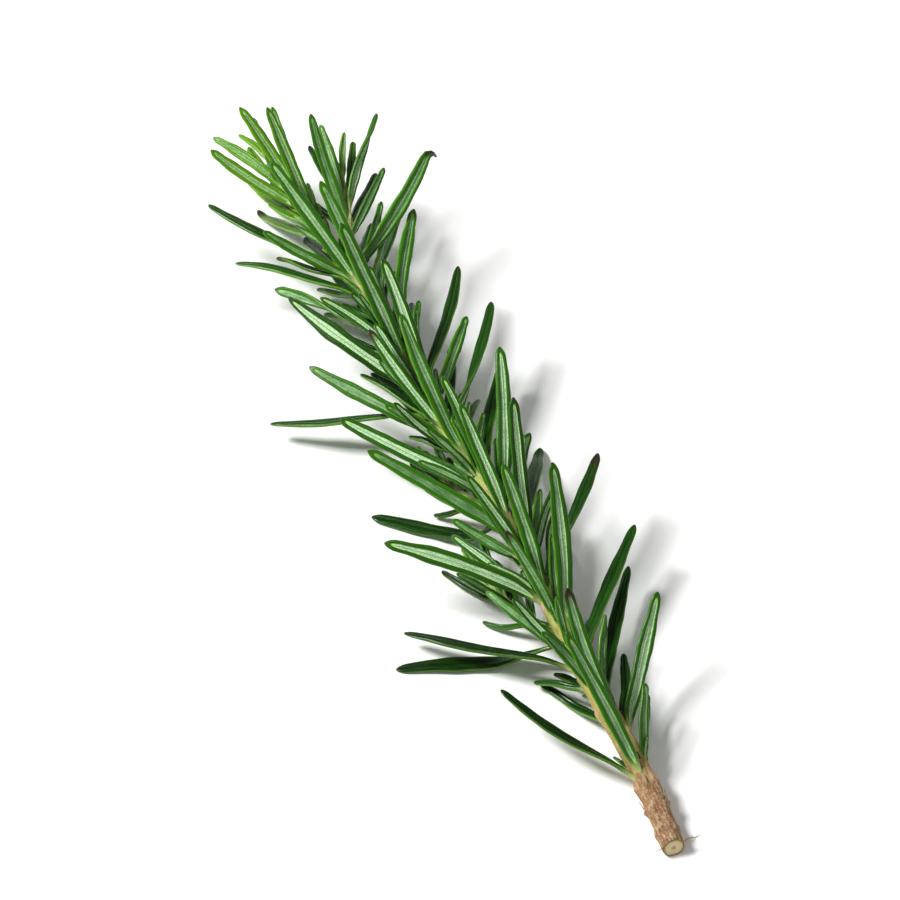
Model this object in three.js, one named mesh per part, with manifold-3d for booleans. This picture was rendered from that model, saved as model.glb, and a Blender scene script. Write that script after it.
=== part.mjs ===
// Rosemary sprig, freshly cut and lying on a table. Millimetres, +Z up, table at z = 0.
// The cut end is at the origin, on its flat spot, and the sprig points along +Y.
// A woody base carries a leafy stem with narrow leaves in crossed pairs, small leaves in their
// axils, and side shoots.
import * as THREE from 'three';
import { mergeVertices } from 'three/addons/utils/BufferGeometryUtils.js';
import Module from 'manifold-3d';

const wasm = await Module();
wasm.setup();

// The main stem: its line over the table and its thickness.
const stem = {
  length: 168,        // cut end to growing tip
  baseRadius: 2.1,
  tipRadius: 0.65,
  seatHeight: 1.75,   // axis above the table at the cut end, so the bark is flattened there
  lift: 8.6,          // how far the leaves hold the axis up
  liftOver: 40,       // length over which it climbs
  liftEase: 1.35,     // slower at first, so the cut end lies flat
  tipLift: 3.5,
  veer: 0.038,        // starts a little towards +X
  bow: 10,            // and bows back towards -X at the tip
  ripple: 0.6,        // slight bends from joint to joint
  rippleOver: 58,
  sides: 8,
};
const woody = { length: 10.8, cutSlope: 0.22, knots: [3.4, 8.2], knotSwell: 0.28, sides: 12 };
const partGap = 0.3;  // between the woody base and the leafy stem

// Leaf pairs along the stem, from the woody base to the tip.
// A list holds [share of the way, value] points.
const pairs = {
  count: 26,
  first: 13.2,
  lowGap: 8.2,
  highGap: 3.6,
  firstAzimuth: 34,   // degrees round the stem from +X; 90 is up
  turn: 90,
  drift: 4,           // the stem's own twist from pair to pair
  lengths: [[0, 30], [0.12, 35], [0.5, 35], [0.75, 31], [0.9, 24], [1, 16]],
  spreads: [[0, 18], [0.1, 23], [0.3, 28], [0.65, 27], [0.86, 18], [1, 6]],
};
const axils = {
  counts: [[0, 3], [0.5, 3], [0.65, 2], [0.8, 1], [0.94, 1], [1, 0]],
  share: [0.3, 0.72],    // of the length of the leaf below
  fan: 60,               // degrees to either side of it
  spread: [0.5, 1.1],    // of its spread
  rise: 2.1,             // further up the stem
  step: 0.9,             // from one to the next
};
const blade = {
  steps: 12,
  rings: [0, 3, 6, 10, 12],          // the steps that carry a section
  shortRings: [0, 4, 9, 12],         // of a small leaf
  widthFloor: 0.55,
  widthShare: 0.078,                 // of the length
  thickness: 0.86,
  outline: [[0, 0.55], [0.12, 0.7], [0.35, 1], [0.7, 0.97], [0.88, 0.72], [1, 0.28]],
  faceUp: 0.6,                       // how far a free blade turns its face up
  tipThickness: 0.72,
  rootSink: 0.35,                    // of the stem's radius
  tableGap: 0.25,                    // middle of a pressed leaf above the table
  settleOver: 4,                     // length over which a leaf settles on the table
};
// Side shoots: the leaf pair that each grows above, on its first or second side, its own length,
// its lean from the stem and its longest leaf.
const shoots = {
  list: [
    { pair: 4, side: 1, length: 21, lean: 27, longest: 17 },
    { pair: 8, side: 1, length: 18, lean: 27, longest: 16 },
    { pair: 19, side: 0, length: 15, lean: 34, longest: 23 },
  ],
  rise: 3.4,
  radius: 0.72,
  clear: 0.35,
  leaves: 5,            // pairs
  shortest: 0.5,        // of the longest leaf
  spread: [34, 12],
  outerSpread: 52,      // of the leaf below the shoot
  sides: 6,
};
const placing = { tries: 40, ownGap: 0.2, otherGap: 0.55, worstOwn: -0.3, rootLength: 5.5, seed: 14 };

const colours = { bark: 0x8a6a4a, leaf: 0x4c7a35, shoot: 0x5f9440 };
const radians = THREE.MathUtils.degToRad;
const up = new THREE.Vector3(0, 0, 1);

// The value at a place in a list of [place, value] points, on straight lines between them.
function along(list, place) {
  const next = list.findIndex(([p]) => p >= place);
  if (next === 0) return list[0][1];
  if (next < 0) return list.at(-1)[1];
  const [p0, v0] = list[next - 1];
  const [p1, v1] = list[next];
  return v0 + ((v1 - v0) * (place - p0)) / (p1 - p0);
}

// Repeatable draws between two values, one stream for each seed.
function drawer(seed) {
  let state = (seed * 7919 + placing.seed) % 2147483647;
  const next = () => (state = (state * 16807) % 2147483647) / 2147483647;
  next();
  next();
  return (low, high) => low + (high - low) * next();
}

function stemPoint(s) {
  const share = s / stem.length;
  const sway = stem.ripple * Math.sin((2 * Math.PI * s) / stem.rippleOver);
  const x = stem.veer * s - stem.bow * share * share + sway;
  const climb = 1 - Math.exp(-((Math.max(s, 0) / stem.liftOver) ** stem.liftEase));
  const z = stem.seatHeight + stem.lift * climb + stem.tipLift * share ** 3;
  return new THREE.Vector3(x, s, z);
}

function stemRadius(s) {
  const share = Math.max(0, 1 - s / stem.length);
  return stem.tipRadius + (stem.baseRadius - stem.tipRadius) * share ** 1.3;
}

// A line's own directions at a place: forward, sideways and up from it.
function frameFrom(forward) {
  const side = new THREE.Vector3().crossVectors(forward, up).normalize();
  return { forward, side, rise: new THREE.Vector3().crossVectors(side, forward) };
}

function stemFrame(s) {
  const forward = stemPoint(s + 0.5).sub(stemPoint(s - 0.5)).normalize();
  return { origin: stemPoint(s), radius: stemRadius(s), ...frameFrom(forward) };
}

function around(frame, degrees) {
  return turned(frame.side, frame.rise, radians(degrees));
}

// A direction turned towards another one square to it.
function turned(from, to, angle) {
  return from.clone().multiplyScalar(Math.cos(angle)).addScaledVector(to, Math.sin(angle));
}

// Keeps a growing line off the table: it can only sink towards it more and more slowly.
function settled(direction, height) {
  const lowest = -Math.max(height, 0) / blade.settleOver;
  if (direction.z >= lowest) return direction;
  const flat = Math.hypot(direction.x, direction.y);
  const level = Math.sqrt(1 - Math.min(lowest * lowest, 0.99)) / flat;
  return direction.set(direction.x * level, direction.y * level, lowest);
}

// A leaf as a row of small boxes: middle, three directions and three half sizes.
function growLeaf(frame, shape) {
  const { azimuth, spread, hug, recurve, swerve, twist, length, width } = shape;
  const step = length / blade.steps;
  const start = around(frame, azimuth);
  const middle = frame.origin.clone().addScaledVector(start, frame.radius * blade.rootSink);
  const boxes = [];
  for (let i = 0; i <= blade.steps; i += 1) {
    const share = i / blade.steps;
    const opened = Math.min(1, share / 0.25);
    const angle = radians(spread * (hug + (1 - hug) * opened) + recurve * share * share);
    const outward = around(frame, azimuth + swerve * share);
    const direction = turned(frame.forward, outward, angle);
    const height = middle.z - blade.tableGap;
    settled(direction, height);
    const across = new THREE.Vector3().crossVectors(frame.forward, outward);
    across.addScaledVector(direction, -across.dot(direction)).normalize();
    const inner = new THREE.Vector3().crossVectors(direction, across);
    across.copy(turned(across, inner, radians(twist * share)));
    // a free blade turns its face up, and one pressed on the table lies flat
    const level = new THREE.Vector3().crossVectors(direction, up).normalize();
    if (level.dot(across) < 0) level.negate();
    const pressed = Math.max(0, 1 - Math.max(height, 0) / 2.5);
    const turn = Math.max(pressed, blade.faceUp * Math.min(1, share / 0.35));
    across.lerp(level, turn).addScaledVector(direction, -across.dot(direction)).normalize();
    const halfWidth = (width / 2) * along(blade.outline, share);
    const halfThick = (blade.thickness / 2) * (share > 0.9 ? blade.tipThickness : 1);
    boxes.push({
      middle: middle.clone(), forward: direction.clone(), across,
      inner: new THREE.Vector3().crossVectors(direction, across),
      halfWidth, halfThick, halfStep: step / 2,
    });
    middle.addScaledVector(direction, step);
  }
  return boxes;
}

// The free space between two boxes along the line between their middles.
function gapBetween(a, b) {
  const line = b.middle.clone().sub(a.middle);
  const distance = line.length() || 1e-9;
  line.divideScalar(distance);
  const reach = (box) => Math.abs(line.dot(box.across)) * box.halfWidth
    + Math.abs(line.dot(box.inner)) * box.halfThick + Math.abs(line.dot(box.forward)) * box.halfStep;
  return distance - reach(a) - reach(b);
}

function leastGap(boxes, others) {
  let least = 99;
  for (const a of boxes) {
    for (const b of others) {
      if (Math.abs(a.middle.y - b.middle.y) < 7) least = Math.min(least, gapBetween(a, b));
    }
  }
  return least;
}

// All that has grown so far, by node. Roots may crowd each other inside a node, and nothing may
// cross another node.
const grown = { leafy_stem: { leaves: [], core: [] } };
shoots.list.forEach((_, i) => { grown[`side_shoot_${i + 1}`] = { leaves: [], core: [] }; });

function roomFor(boxes, node) {
  const free = boxes.slice(Math.ceil(placing.rootLength / boxes[0].halfStep / 2));
  let own = leastGap(free, grown[node].core);
  let other = 99;
  for (const [name, { leaves, core }] of Object.entries(grown)) {
    if (name === node) {
      for (const leaf of leaves) own = Math.min(own, leastGap(free, leaf.free));
    } else {
      other = Math.min(other, leastGap(boxes, core));
      for (const leaf of leaves) other = Math.min(other, leastGap(boxes, leaf.boxes));
    }
  }
  return { own, other, free };
}

// Grows one leaf in the first place of several that has room, or in the best of them, or not at all.
function placeLeaf(node, frame, wanted, seed) {
  const draw = drawer(seed);
  let best = null;
  for (let i = 0; i < placing.tries; i += 1) {
    const play = 1 + i / 4;
    const shape = {
      ...wanted,
      azimuth: wanted.azimuth + draw(-7, 7) * play,
      spread: wanted.spread * (1 + draw(-0.12, 0.12) * play),
      recurve: wanted.recurve + draw(-7, 9),
      swerve: wanted.swerve + draw(-12, 12),
      twist: draw(-30, 30),
      length: wanted.length * draw(0.9, 1.08),
    };
    shape.width = (blade.widthFloor + blade.widthShare * shape.length) * draw(0.92, 1.12);
    const boxes = growLeaf(frame, shape);
    const room = roomFor(boxes, node);
    const score = Math.min(room.own - placing.ownGap, room.other - placing.otherGap);
    if (!best || score > best.score) best = { score, boxes, ...room, shape };
    if (score >= 0) break;
  }
  if (best.other < placing.otherGap || best.own < placing.worstOwn) return false;
  grown[node].leaves.push(best);
  return true;
}

// The place, share of the way and azimuth of every leaf pair.
function pairPlaces() {
  const places = [];
  let s = pairs.first;
  for (let k = 0; k < pairs.count; k += 1) {
    const share = k / (pairs.count - 1);
    places.push({ s, share, azimuth: pairs.firstAzimuth + (pairs.turn + pairs.drift) * k });
    s += pairs.lowGap + (pairs.highGap - pairs.lowGap) * share;
  }
  return places;
}

// A side shoot's own line: it leaves its axil, then bends a little towards the tip.
function shootLine(plan, place) {
  const base = stemFrame(place.s + shoots.rise);
  const outward = around(base, place.azimuth + 180 * plan.side);
  const lean = radians(plan.lean);
  const origin = base.origin.clone()
    .addScaledVector(outward, base.radius + shoots.clear + shoots.radius * Math.cos(lean));
  const boxes = [];
  const steps = 10;
  for (let i = 0; i <= steps; i += 1) {
    const forward = turned(base.forward, outward, lean * (1 - 0.35 * (i / steps)));
    settled(forward, origin.z - shoots.radius - blade.tableGap);
    const radius = shoots.radius * (1 - 0.45 * (i / steps));
    const { side, rise } = frameFrom(forward);
    boxes.push({
      middle: origin.clone(), forward: forward.clone(), across: side, inner: rise,
      halfWidth: radius, halfThick: radius, halfStep: plan.length / steps / 2,
    });
    origin.addScaledVector(forward, plan.length / steps);
  }
  return boxes;
}

function shootFrame(line, share) {
  const place = share * (line.length - 1);
  const i = Math.min(line.length - 2, Math.floor(place));
  const origin = line[i].middle.clone().lerp(line[i + 1].middle, place - i);
  const forward = line[i].forward.clone();
  return { origin, radius: line[i].halfWidth, ...frameFrom(forward) };
}

function growSprig() {
  const places = pairPlaces();
  for (let s = woody.length; s <= stem.length; s += 3) {
    const { origin, radius, forward, side, rise } = stemFrame(s);
    grown.leafy_stem.core.push({
      middle: origin, forward, across: side, inner: rise,
      halfWidth: radius, halfThick: radius, halfStep: 1.5,
    });
  }
  const taken = new Set();
  // the leaves below side shoots stand out wide, so they come first
  shoots.list.forEach((plan, i) => {
    const node = `side_shoot_${i + 1}`;
    const place = places[plan.pair];
    taken.add(`${plan.pair} ${plan.side}`);
    grown[node].core = shootLine(plan, place);
    placeLeaf('leafy_stem', stemFrame(place.s), {
      azimuth: place.azimuth + 180 * plan.side, spread: shoots.outerSpread, hug: 1,
      recurve: -6, swerve: 0, length: along(pairs.lengths, place.share) * 0.92,
    }, 500 + i);
  });
  shoots.list.forEach((plan, i) => {
    const node = `side_shoot_${i + 1}`;
    for (let k = 0; k < shoots.leaves; k += 1) {
      const share = k / (shoots.leaves - 1);
      const frame = shootFrame(grown[node].core, 0.2 + 0.78 * share);
      const peak = 1 - Math.abs(share - 0.35) / 0.65;
      for (const side of [0, 1]) {
        placeLeaf(node, frame, {
          azimuth: 40 + 90 * k + 180 * side,
          spread: shoots.spread[0] + (shoots.spread[1] - shoots.spread[0]) * share,
          hug: 0.6, recurve: 0, swerve: 0,
          length: plan.longest * (shoots.shortest + (1 - shoots.shortest) * peak),
        }, 1000 + 100 * i + 2 * k + side);
      }
    }
  });
  places.forEach((place, k) => {
    for (const side of [0, 1]) {
      if (taken.has(`${k} ${side}`)) continue;
      placeLeaf('leafy_stem', stemFrame(place.s), {
        azimuth: place.azimuth + 180 * side, spread: along(pairs.spreads, place.share), hug: 0.55,
        recurve: 2, swerve: 0, length: along(pairs.lengths, place.share),
      }, 10 * k + side);
    }
  });
  places.forEach((place, k) => {
    const count = Math.round(along(axils.counts, place.share));
    for (const side of [0, 1]) {
      if (taken.has(`${k} ${side}`)) continue;
      const draw = drawer(3000 + 10 * k + side);
      for (let i = 0; i < count; i += 1) {
        const fan = count > 1 ? axils.fan * ((2 * i) / (count - 1) - 1) : draw(-axils.fan, axils.fan);
        placeLeaf('leafy_stem', stemFrame(place.s + axils.rise + axils.step * i), {
          azimuth: place.azimuth + 180 * side + fan + draw(-8, 8),
          spread: along(pairs.spreads, place.share) * draw(...axils.spread),
          hug: 0.7, recurve: 3, swerve: 0,
          length: along(pairs.lengths, place.share) * draw(...axils.share),
        }, 5000 + 100 * k + 10 * side + i);
      }
    }
  });
}

// A closed solid from rings of points, each ring anticlockwise as seen from its far end.
function loft(rings) {
  const positions = rings.flat().flatMap((p) => [p.x, p.y, p.z]);
  const count = rings[0].length;
  const faces = [];
  for (let r = 0; r + 1 < rings.length; r += 1) {
    for (let i = 0; i < count; i += 1) {
      const a = r * count + i;
      const b = r * count + ((i + 1) % count);
      faces.push(a, b, b + count, a, b + count, a + count);
    }
  }
  const last = (rings.length - 1) * count;
  for (let i = 1; i + 1 < count; i += 1) faces.push(0, i + 1, i, last, last + i, last + i + 1);
  const geometry = new THREE.BufferGeometry();
  geometry.setAttribute('position', new THREE.Float32BufferAttribute(positions, 3));
  geometry.setIndex(faces);
  return geometry;
}

function solid(geometry) {
  const bare = geometry.clone();
  bare.deleteAttribute('normal');
  bare.deleteAttribute('uv');
  const merged = mergeVertices(bare, 1e-4);
  return new wasm.Manifold(new wasm.Mesh({
    numProp: 3,
    vertProperties: merged.attributes.position.array,
    triVerts: new Uint32Array(merged.index.array),
  }));
}

function geometryOf(manifold) {
  const mesh = manifold.getMesh();
  const geometry = new THREE.BufferGeometry();
  geometry.setAttribute('position', new THREE.BufferAttribute(mesh.vertProperties, 3));
  geometry.setIndex(new THREE.BufferAttribute(mesh.triVerts, 1));
  return geometry;
}

// A four-cornered blade with a blunt tip.
function leafSolid(boxes) {
  const rings = boxes[0].halfStep * 2 * blade.steps < 16 ? blade.shortRings : blade.rings;
  return solid(loft(rings.map((i) => {
    const { middle, across, inner, halfWidth, halfThick } = boxes[i];
    return [[1, 1], [-1, 1], [-1, -1], [1, -1]].map(([u, v]) => middle.clone()
      .addScaledVector(across, u * halfWidth).addScaledVector(inner, v * halfThick));
  })));
}

// A round rod through frames that carry their own radius.
function rod(frames, sides) {
  return loft(frames.map((frame) => Array.from({ length: sides }, (_, i) => frame.origin.clone()
    .addScaledVector(around(frame, -(360 * i) / sides), frame.radius))));
}

// What is above the table.
const belowTable = solid(new THREE.BoxGeometry(400, 600, 40).translate(0, 100, -20));

// Even frames along the stem.
function stemFrames(start, end, steps) {
  return Array.from({ length: steps + 1 }, (_, i) => stemFrame(start + ((end - start) * i) / steps));
}

function woodyBase() {
  const frames = stemFrames(0, woody.length, 8);
  for (const frame of frames) {
    for (const knot of woody.knots) {
      frame.radius += woody.knotSwell * Math.exp(-(((frame.origin.y - knot) / 0.9) ** 2));
    }
  }
  const body = rod(frames, woody.sides);
  // the knife's slanting cut
  const place = body.attributes.position;
  for (let i = 0; i < woody.sides; i += 1) {
    place.setY(i, place.getY(i) + woody.cutSlope * (place.getZ(i) - stem.seatHeight));
  }
  return solid(body).subtract(belowTable);
}

// One closed body. A hollow sealed between crowded leaves is filled, and a loose scrap is dropped.
function joined(core, leaves) {
  const solids = [solid(core), ...leaves.map(({ boxes }) => leafSolid(boxes))];
  const bodies = wasm.Manifold.union(solids).subtract(belowTable).decompose();
  return bodies.sort((a, b) => b.volume() - a.volume())[0];
}

function mesh(name, manifold, colour) {
  const material = new THREE.MeshStandardMaterial({ color: colour, roughness: 0.6, metalness: 0 });
  const made = new THREE.Mesh(geometryOf(manifold), material);
  made.name = name;
  return made;
}

function stemRod() {
  return rod(stemFrames(woody.length + partGap, stem.length, 18), stem.sides);
}

function shootRod(core) {
  const frames = core.map(({ middle, halfWidth, forward }) => (
    { origin: middle, radius: halfWidth, ...frameFrom(forward) }
  ));
  return rod(frames, shoots.sides);
}

growSprig();
const sprig = new THREE.Group();
sprig.name = 'rosemary_sprig';
sprig.add(mesh('woody_base', woodyBase(), colours.bark));
for (const [name, { leaves, core }] of Object.entries(grown)) {
  const main = name === 'leafy_stem';
  const body = joined(main ? stemRod() : shootRod(core), leaves);
  sprig.add(mesh(name, body, main ? colours.leaf : colours.shoot));
}

export default sprig;
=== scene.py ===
import math
import bpy
import numpy as np
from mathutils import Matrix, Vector, noise


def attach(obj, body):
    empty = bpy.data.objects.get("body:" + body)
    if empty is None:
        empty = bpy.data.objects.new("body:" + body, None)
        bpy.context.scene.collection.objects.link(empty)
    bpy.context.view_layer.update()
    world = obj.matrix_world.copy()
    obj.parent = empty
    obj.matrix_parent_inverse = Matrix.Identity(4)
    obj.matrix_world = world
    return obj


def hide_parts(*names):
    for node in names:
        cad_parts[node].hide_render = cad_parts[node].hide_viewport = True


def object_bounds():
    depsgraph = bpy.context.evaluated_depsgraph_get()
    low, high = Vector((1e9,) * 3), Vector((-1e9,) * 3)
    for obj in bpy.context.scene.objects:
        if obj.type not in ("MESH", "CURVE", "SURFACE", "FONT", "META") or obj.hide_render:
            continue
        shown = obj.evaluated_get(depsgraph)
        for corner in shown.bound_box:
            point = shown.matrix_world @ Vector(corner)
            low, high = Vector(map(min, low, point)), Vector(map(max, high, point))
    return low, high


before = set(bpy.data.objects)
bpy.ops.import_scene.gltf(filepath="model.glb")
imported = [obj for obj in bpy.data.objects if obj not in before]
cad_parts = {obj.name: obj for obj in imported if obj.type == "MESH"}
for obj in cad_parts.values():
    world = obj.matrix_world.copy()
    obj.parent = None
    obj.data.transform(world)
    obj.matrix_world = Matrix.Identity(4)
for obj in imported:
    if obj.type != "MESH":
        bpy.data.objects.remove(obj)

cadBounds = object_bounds()
mm = 0.001

# The sprig's growth, as in the CAD: the same rules and the same seeded draws, in millimetres.
stem = {
    "length": 168, "baseRadius": 2.1, "tipRadius": 0.65, "seatHeight": 1.75,
    "lift": 8.6, "liftOver": 40, "liftEase": 1.35, "tipLift": 3.5,
    "veer": 0.038, "bow": 10, "ripple": 0.6, "rippleOver": 58, "taper": 1.3, "coreStep": 3,
}
woody = {"length": 10.8, "cutSlope": 0.22, "knots": [3.4, 8.2], "knotSwell": 0.28}
pairs = {
    "count": 26, "first": 13.2, "lowGap": 8.2, "highGap": 3.6,
    "firstAzimuth": 34, "turn": 90, "drift": 4,
    "lengths": [[0, 30], [0.12, 35], [0.5, 35], [0.75, 31], [0.9, 24], [1, 16]],
    "spreads": [[0, 18], [0.1, 23], [0.3, 28], [0.65, 27], [0.86, 18], [1, 6]],
}
axils = {
    "counts": [[0, 3], [0.5, 3], [0.65, 2], [0.8, 1], [0.94, 1], [1, 0]],
    "share": [0.3, 0.72], "fan": 60, "spread": [0.5, 1.1], "rise": 2.1, "step": 0.9,
}
blade = {
    "steps": 12, "widthFloor": 0.55, "widthShare": 0.078, "thickness": 0.86,
    "outline": [[0, 0.55], [0.12, 0.7], [0.35, 1], [0.7, 0.97], [0.88, 0.72], [1, 0.28]],
    "faceUp": 0.6, "faceUpOver": 0.35, "tipThickness": 0.72, "tipFrom": 0.9, "opensOver": 0.25,
    "rootSink": 0.35, "tableGap": 0.25, "settleOver": 4, "pressedBelow": 2.5,
}
shoots = {
    "list": [
        {"pair": 4, "side": 1, "length": 21, "lean": 27, "longest": 17},
        {"pair": 8, "side": 1, "length": 18, "lean": 27, "longest": 16},
        {"pair": 19, "side": 0, "length": 15, "lean": 34, "longest": 23},
    ],
    "rise": 3.4, "radius": 0.72, "clear": 0.35, "leaves": 5, "shortest": 0.5,
    "spread": [34, 12], "outerSpread": 52, "outerLength": 0.92, "outerRecurve": -6,
    "steps": 10, "straightens": 0.35, "narrows": 0.45, "leavesFrom": 0.2, "leavesSpan": 0.78,
    "firstAzimuth": 40, "turn": 90, "peak": 0.35,
}
placing = {
    "tries": 40, "ownGap": 0.2, "otherGap": 0.55, "worstOwn": -0.3, "rootLength": 5.5, "seed": 14,
    "nearby": 7, "farAway": 99,
}
jitter = {
    "azimuth": [-7, 7], "spread": [-0.12, 0.12], "recurve": [-7, 9], "swerve": [-12, 12], "twist": [-30, 30],
    "length": [0.9, 1.08], "width": [0.92, 1.12], "growsOver": 4, "axilTurn": [-8, 8],
}
# where the streams of draws start, for each kind of leaf and each use
seeds = {
    "outer": 500, "shoot": 1000, "axilDraws": 3000, "axil": 5000, "budDraws": 9000, "bud": 12000,
    "shape": 70000, "arch": 80000,
}
generator = {"spread": 7919, "factor": 16807, "modulus": 2147483647}


# The value at a place in a list of [place, value] points.
def along(points, place):
    after = next((i for i, point in enumerate(points) if point[0] >= place), None)
    if after == 0:
        return points[0][1]
    if after is None:
        return points[-1][1]
    p0, v0 = points[after - 1]
    p1, v1 = points[after]
    return v0 + ((v1 - v0) * (place - p0)) / (p1 - p0)


# Repeatable draws between two values, one stream for each seed.
def drawer(seed):
    modulus = generator["modulus"]
    state = [(seed * generator["spread"] + placing["seed"]) % modulus]

    def draw(low=0, high=1):
        state[0] = (state[0] * generator["factor"]) % modulus
        return low + (high - low) * (state[0] / modulus)

    draw()
    draw()
    return draw


def radians(degrees):
    return degrees * (math.pi / 180)


def plus(a, b, scale=1):
    return (a[0] + b[0] * scale, a[1] + b[1] * scale, a[2] + b[2] * scale)


def dot(a, b):
    return a[0] * b[0] + a[1] * b[1] + a[2] * b[2]


def cross(a, b):
    return (a[1] * b[2] - a[2] * b[1], a[2] * b[0] - a[0] * b[2], a[0] * b[1] - a[1] * b[0])


def unit(a):
    scale = 1 / math.sqrt(dot(a, a))
    return (a[0] * scale, a[1] * scale, a[2] * scale)


def blended(a, b, share):
    return tuple(p + (q - p) * share for p, q in zip(a, b))


# A direction turned towards another one square to it.
def turned(start, end, angle):
    c, s = math.cos(angle), math.sin(angle)
    return tuple(p * c + q * s for p, q in zip(start, end))


def squared(vector, direction):
    return unit(plus(vector, direction, -dot(vector, direction)))


def stemPoint(s):
    share = s / stem["length"]
    sway = stem["ripple"] * math.sin((2 * math.pi * s) / stem["rippleOver"])
    x = stem["veer"] * s - stem["bow"] * share * share + sway
    climb = 1 - math.exp(-((max(s, 0) / stem["liftOver"]) ** stem["liftEase"]))
    z = stem["seatHeight"] + stem["lift"] * climb + stem["tipLift"] * share ** 3
    return (x, s, z)


def stemRadius(s):
    share = max(0, 1 - s / stem["length"])
    return stem["tipRadius"] + (stem["baseRadius"] - stem["tipRadius"]) * share ** stem["taper"]


def frameFrom(origin, radius, forward):
    side = unit(cross(forward, (0, 0, 1)))
    rise = cross(side, forward)
    return {"origin": origin, "radius": radius, "forward": forward, "side": side, "rise": rise}


def stemFrame(s):
    forward = unit(plus(stemPoint(s + 0.5), stemPoint(s - 0.5), -1))
    return frameFrom(stemPoint(s), stemRadius(s), forward)


def around(place, degrees):
    return turned(place["side"], place["rise"], radians(degrees))


# Keeps a growing line off the table: it can only sink towards it more and more slowly.
def settled(direction, height):
    lowest = -max(height, 0) / blade["settleOver"]
    if direction[2] >= lowest:
        return direction
    flat = math.hypot(direction[0], direction[1])
    level = math.sqrt(1 - min(lowest * lowest, 0.99)) / flat
    return (direction[0] * level, direction[1] * level, lowest)


# A leaf as a row of boxes: middle, forward, across, inner, half width, half thickness, half step.
def growLeaf(place, shape):
    azimuth, length = shape["azimuth"], shape["length"]
    stride = length / blade["steps"]
    start = around(place, azimuth)
    middle = plus(place["origin"], start, place["radius"] * blade["rootSink"])
    boxes = []
    for i in range(blade["steps"] + 1):
        share = i / blade["steps"]
        opened = min(1, share / blade["opensOver"])
        hug = shape["hug"]
        angle = radians(shape["spread"] * (hug + (1 - hug) * opened) + shape["recurve"] * share * share)
        outward = around(place, azimuth + shape["swerve"] * share)
        height = middle[2] - blade["tableGap"]
        direction = settled(turned(place["forward"], outward, angle), height)
        across = squared(cross(place["forward"], outward), direction)
        inner = cross(direction, across)
        across = turned(across, inner, radians(shape["twist"] * share))
        level = unit(cross(direction, (0, 0, 1)))
        if dot(level, across) < 0:
            level = (-level[0], -level[1], -level[2])
        pressed = max(0, 1 - max(height, 0) / blade["pressedBelow"])
        turn = max(pressed, blade["faceUp"] * min(1, share / blade["faceUpOver"]))
        across = squared(blended(across, level, turn), direction)
        halfWidth = (shape["width"] / 2) * along(blade["outline"], share)
        halfThick = (blade["thickness"] / 2) * (blade["tipThickness"] if share > blade["tipFrom"] else 1)
        inner = cross(direction, across)
        boxes.append((*middle, *direction, *across, *inner, halfWidth, halfThick, stride / 2))
        middle = plus(middle, direction, stride)
    return np.array(boxes)


# The least free space between two groups of boxes, each pair measured along the line between their middles.
def leastGap(group, others):
    if len(others) == 0:
        return placing["farAway"]
    lines = others[None, :, :3] - group[:, None, :3]
    first, second = np.nonzero(np.abs(lines[..., 1]) < placing["nearby"])
    if len(first) == 0:
        return placing["farAway"]
    line = lines[first, second]
    distance = np.sqrt((line * line).sum(1))
    distance[distance == 0] = 1e-9
    line = line / distance[:, None]

    def reach(boxes):
        total = 0
        for axis, half in ((6, 12), (9, 13), (3, 14)):
            total = total + np.abs((line * boxes[:, axis:axis + 3]).sum(1)) * boxes[:, half]
        return total

    return min(placing["farAway"], (distance - reach(group[first]) - reach(others[second])).min())


# All that has grown so far, by node: its leaves, and its boxes with and without the leaf roots.
grown = {}


def addNode(node, core):
    grown[node] = {"leaves": [], "core": core, "boxes": core, "free": core}


# A leaf's boxes without its root, which may crowd its neighbours'.
def freeBoxes(boxes):
    return boxes[math.ceil(placing["rootLength"] / boxes[0, 14] / 2):]


def placeLeaf(node, place, wanted, seed, kind, share):
    draw = drawer(seed)
    best = None
    others = np.concatenate([grown[name]["boxes"] for name in grown if name != node])
    for i in range(placing["tries"]):
        play = 1 + i / jitter["growsOver"]
        shape = dict(wanted)
        shape["azimuth"] = wanted["azimuth"] + draw(*jitter["azimuth"]) * play
        shape["spread"] = wanted["spread"] * (1 + draw(*jitter["spread"]) * play)
        shape["recurve"] = wanted["recurve"] + draw(*jitter["recurve"])
        shape["swerve"] = draw(*jitter["swerve"])
        shape["twist"] = draw(*jitter["twist"])
        shape["length"] = wanted["length"] * draw(*jitter["length"])
        shape["width"] = blade["widthFloor"] + blade["widthShare"] * shape["length"]
        shape["width"] *= draw(*jitter["width"])
        boxes = growLeaf(place, shape)
        free = freeBoxes(boxes)
        own = leastGap(free, grown[node]["free"])
        other = leastGap(boxes, others)
        score = min(own - placing["ownGap"], other - placing["otherGap"])
        if best is None or score > best["score"]:
            best = {"score": score, "boxes": boxes, "free": free, "own": own, "other": other, "shape": shape}
        if score >= 0:
            break
    if best["other"] < placing["otherGap"] or best["own"] < placing["worstOwn"]:
        return
    best.update(kind=kind, share=share, seed=seed, node=node, root=place)
    grown[node]["leaves"].append(best)
    grown[node]["boxes"] = np.concatenate([grown[node]["boxes"], best["boxes"]])
    grown[node]["free"] = np.concatenate([grown[node]["free"], best["free"]])


# The place, share of the way and azimuth of every leaf pair.
def pairPlaces():
    places = []
    s = pairs["first"]
    for k in range(pairs["count"]):
        share = k / (pairs["count"] - 1)
        azimuth = pairs["firstAzimuth"] + (pairs["turn"] + pairs["drift"]) * k
        places.append({"s": s, "share": share, "azimuth": azimuth})
        s += pairs["lowGap"] + (pairs["highGap"] - pairs["lowGap"]) * share
    return places


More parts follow.
